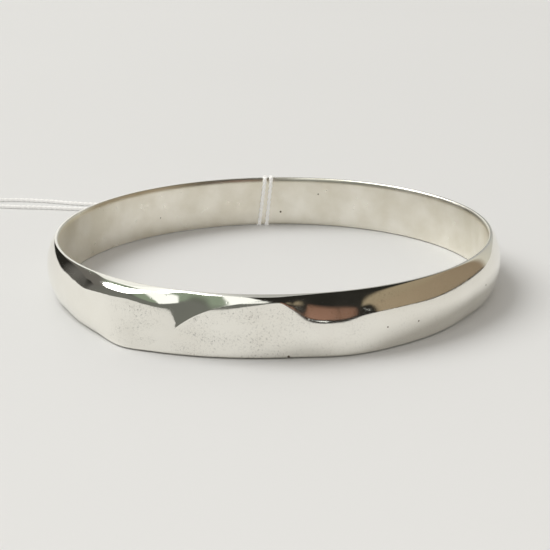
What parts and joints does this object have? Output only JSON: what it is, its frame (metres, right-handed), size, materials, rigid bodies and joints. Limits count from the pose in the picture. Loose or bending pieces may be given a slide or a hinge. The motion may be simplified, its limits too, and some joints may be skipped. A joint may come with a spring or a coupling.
{
  "type": "bangle bracelet",
  "caption": "Closed hollow silver bangle with a low D section and a folded-over front, with a doubled white label string hitched round its back",
  "frame": {"origin": "centre of the wrist opening, on the surface the bangle lies on", "axes": "+Z along the axis of the wrist opening, up from that surface; -Y is the front with the fold; +X to the viewer's right"},
  "size_m": [0.091, 0.0821, 0.0082],
  "materials": {
    "silver_polished": "polished silver with fine scratches and small pits",
    "silver_inner": "satin worn silver, slightly warm",
    "solder": "filed and polished silver solder",
    "string": "two-ply twisted white cotton"
  },
  "bodies": {
    "band": {"outer_shell": "silver_polished", "inner_liner": "silver_inner", "upper_seam": "solder", "lower_seam": "solder", "shell_joint_solder": "solder", "liner_joint_solder": "solder", "joint_backing_strip": "silver_inner"},
    "label_string": {"string_hitch": "string", "string_tail_near": "string", "string_tail_far": "string", "string_knot": "string"}
  },
  "joints": [
    {"name": "string_slide", "type": "hinge", "parent": "band", "child": "label_string", "pos_m": [0, 0, 0.00408], "axis": [0, 0, 1], "range_deg": [-110, 110]}
  ]
}
